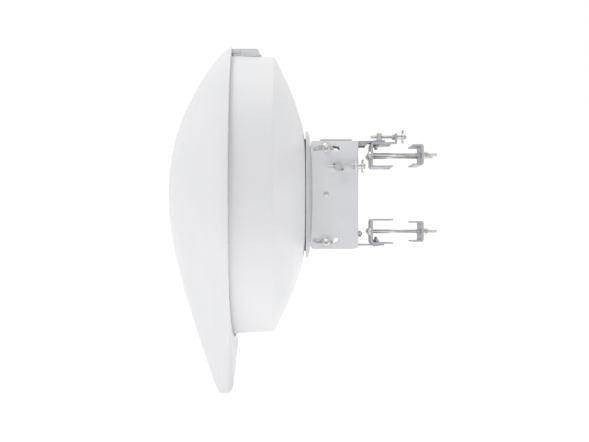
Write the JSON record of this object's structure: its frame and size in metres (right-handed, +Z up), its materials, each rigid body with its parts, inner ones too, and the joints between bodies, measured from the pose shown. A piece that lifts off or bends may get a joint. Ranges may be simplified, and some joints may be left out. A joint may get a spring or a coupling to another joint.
{
  "type": "point-to-point dish antenna",
  "caption": "White teardrop-radome dish antenna on a folded steel bracket with elevation and azimuth fine screws and pole clamps.",
  "frame": {"origin": "on the pole's axis at the height of the dish axis", "axes": "+Z up along the pole, the dish looks along -X, +Y to the dish's right seen from the pole"},
  "size_m": [0.4187, 0.464, 0.544],
  "materials": {
    "moulded_white": "fine moulded texture",
    "painted_white": "powder coat",
    "coated_sheet": "satin powder coat on folded steel",
    "fastener_steel": "turned stainless steel",
    "bare_aluminium": "pressed sheet",
    "black_plastic": "moulded",
    "grey_rubber": "moulded",
    "board_laminate": "solder mask",
    "label_film": "plain film"
  },
  "bodies": {
    "pole_mount": {"upper_channel": "coated_sheet", "lower_channel": "coated_sheet", "turn_bolts": "fastener_steel", "clamp_bolts": "fastener_steel", "azimuth_seat": "bare_aluminium"},
    "upper_jaw_set": {"upper_jaw": "coated_sheet", "upper_jaw_nuts": "fastener_steel"},
    "lower_jaw_set": {"lower_jaw": "coated_sheet", "lower_jaw_nuts": "fastener_steel"},
    "azimuth_screw_set": {"azimuth_screw": "fastener_steel"},
    "azimuth_box": {"near_cheek": "coated_sheet", "far_cheek": "coated_sheet", "azimuth_frame": "coated_sheet", "pivot_pins": "fastener_steel", "label_pad": "label_film", "frame_bolt": "fastener_steel"},
    "azimuth_nut": {"azimuth_swivel": "fastener_steel"},
    "elevation_seat_set": {"elevation_seat": "bare_aluminium"},
    "elevation_screw_set": {"elevation_screw": "fastener_steel"},
    "dish_unit": {"radome": "moulded_white", "rear_housing": "painted_white", "rim_gasket": "grey_rubber", "top_block": "moulded_white", "top_block_screw": "painted_white", "top_bung": "moulded_white", "reflector": "bare_aluminium", "feed_tube": "bare_aluminium", "sub_reflector": "moulded_white", "radio_board": "board_laminate", "heat_spreader": "bare_aluminium", "port_housing": "black_plastic", "cable_gland": "grey_rubber", "ground_screw": "fastener_steel", "rim_screws": "fastener_steel", "boss_ring": "grey_rubber", "mount_plate": "coated_sheet", "plate_screws": "fastener_steel", "tilt_bracket": "coated_sheet", "slot_bolts": "fastener_steel"},
    "elevation_nut": {"elevation_swivel": "fastener_steel"},
    "tail_cover_set": {"tail_cover": "moulded_white"}
  },
  "joints": [
    {"name": "upper_jaw_slide", "type": "slide", "parent": "pole_mount", "child": "upper_jaw_set", "axis": [1, 0, 0], "range_m": [-0.02, 0.012]},
    {"name": "lower_jaw_slide", "type": "slide", "parent": "pole_mount", "child": "lower_jaw_set", "axis": [1, 0, 0], "range_m": [-0.02, 0.012]},
    {"name": "azimuth", "type": "hinge", "parent": "pole_mount", "child": "azimuth_box", "pos_m": [-0.031, 0, 0], "axis": [0, 0, 1], "range_deg": [-7.5, 7.5]},
    {"name": "azimuth_screw_spin", "type": "hinge", "parent": "pole_mount", "child": "azimuth_screw_set", "pos_m": [-0.002, -0.052, 0.0888], "axis": [1, 0, 0], "range_deg": [-3093.7, 3093.7]},
    {"name": "azimuth_nut_turn", "type": "hinge", "parent": "azimuth_box", "child": "azimuth_nut", "pos_m": [-0.028, -0.052, 0.0888], "axis": [0, 0, 1], "range_deg": [-8.2, 8.2]},
    {"name": "elevation", "type": "hinge", "parent": "azimuth_box", "child": "dish_unit", "pos_m": [-0.11, 0, 0], "axis": [0, 1, 0], "range_deg": [-6, 6]},
    {"name": "elevation_seat_tilt", "type": "hinge", "parent": "azimuth_box", "child": "elevation_seat_set", "pos_m": [-0.064, -0.049, 0.0432], "axis": [0, 1, 0], "range_deg": [-4.4, 4.4]},
    {"name": "elevation_screw_spin", "type": "hinge", "parent": "elevation_seat_set", "child": "elevation_screw_set", "pos_m": [-0.064, -0.049, 0.0432], "axis": [1, 0, 0], "range_deg": [-2056.1, 2056.1]},
    {"name": "elevation_nut_turn", "type": "hinge", "parent": "dish_unit", "child": "elevation_nut", "pos_m": [-0.091, -0.049, 0.0432], "axis": [0, 1, 0], "range_deg": [-10.4, 10.4]},
    {"name": "tail_cover_slide", "type": "slide", "parent": "dish_unit", "child": "tail_cover_set", "axis": [0, 0, -1], "range_m": [0, 0.05]}
  ],
  "couplings": [
    {"joint": "azimuth_screw_spin", "follows": "azimuth", "ratio": -408.41},
    {"joint": "azimuth_nut_turn", "follows": "azimuth", "ratio": -1},
    {"joint": "elevation_seat_tilt", "follows": "elevation", "ratio": -0.7},
    {"joint": "elevation_screw_spin", "follows": "elevation", "ratio": -339.29},
    {"joint": "elevation_nut_turn", "follows": "elevation", "ratio": -1.7}
  ]
}
